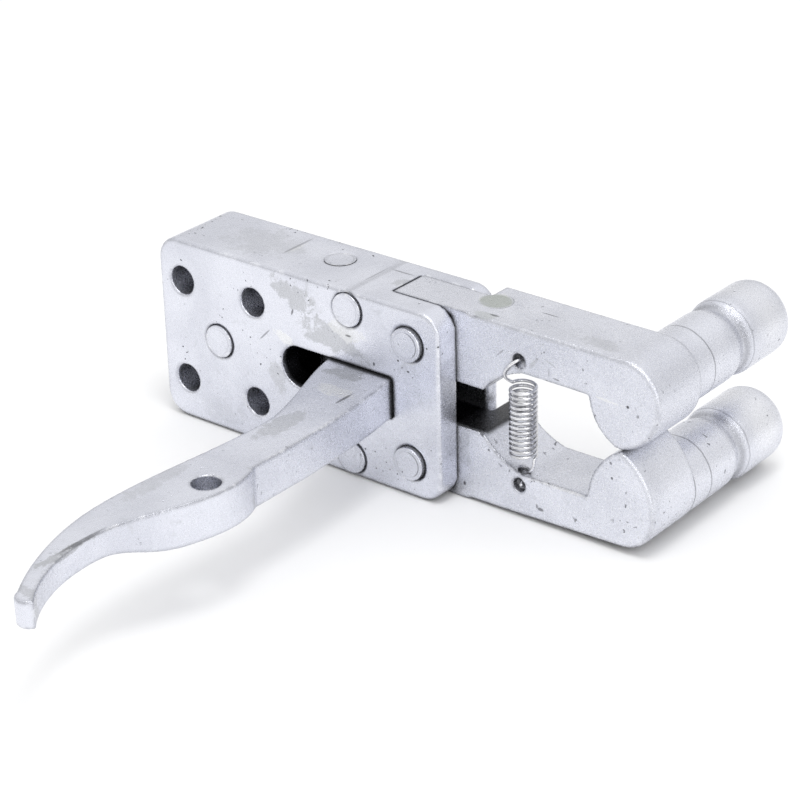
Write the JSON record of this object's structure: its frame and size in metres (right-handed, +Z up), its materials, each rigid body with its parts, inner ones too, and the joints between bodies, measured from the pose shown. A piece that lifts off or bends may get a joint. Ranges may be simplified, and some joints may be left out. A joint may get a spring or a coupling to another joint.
{
  "type": "trailer coupler lock",
  "caption": "Riveted lock body with two spring-closed pincer jaws ending in round pegs, held shut by a wedge on a curved side lever.",
  "frame": {"origin": "centre of the four mounting holes, on the back face of the housing", "axes": "+X towards the jaw tips, +Y out of the back face along the pegs (the lever points to -Y), +Z up, from the lower jaw to the upper jaw"},
  "size_m": [0.2043, 0.2671, 0.069],
  "materials": {
    "plated_casting": "satin",
    "plated_jaw": "satin",
    "plated_lever": "satin",
    "plated_pin": "satin",
    "spring_steel": "polished"
  },
  "bodies": {
    "housing": {"front_plate": "plated_casting", "spacer_block": "plated_casting", "back_plate": "plated_casting", "lever_pin": "plated_pin", "upper_jaw_pin": "plated_pin", "lower_jaw_pin": "plated_pin", "left_rivet": "plated_pin", "upper_rivet": "plated_pin", "lower_rivet": "plated_pin"},
    "lever": {"lever": "plated_lever"},
    "upper_jaw": {"upper_jaw": "plated_jaw", "return_spring": "spring_steel"},
    "lower_jaw": {"lower_jaw": "plated_jaw"}
  },
  "joints": [
    {"name": "lever_swing", "type": "hinge", "parent": "housing", "child": "lever", "pos_m": [0.0405, -0.0125, 0], "axis": [0, 0, -1], "range_deg": [0, 40]},
    {"name": "upper_jaw_swing", "type": "hinge", "parent": "housing", "child": "upper_jaw", "pos_m": [0.085, -0.01, 0.022], "axis": [0, -1, 0], "range_deg": [0, 11.5], "stiffness_Nm_per_rad": 0.8, "springref_deg": -5.73, "deforming": ["return_spring"]},
    {"name": "lower_jaw_swing", "type": "hinge", "parent": "housing", "child": "lower_jaw", "pos_m": [0.085, -0.01, -0.022], "axis": [0, 1, 0], "range_deg": [0, 11.5], "stiffness_Nm_per_rad": 0.8, "springref_deg": -5.73}
  ],
  "couplings": [
    {"joint": "upper_jaw_swing", "follows": "lever_swing", "ratio": 0.28},
    {"joint": "lower_jaw_swing", "follows": "lever_swing", "ratio": 0.28}
  ]
}
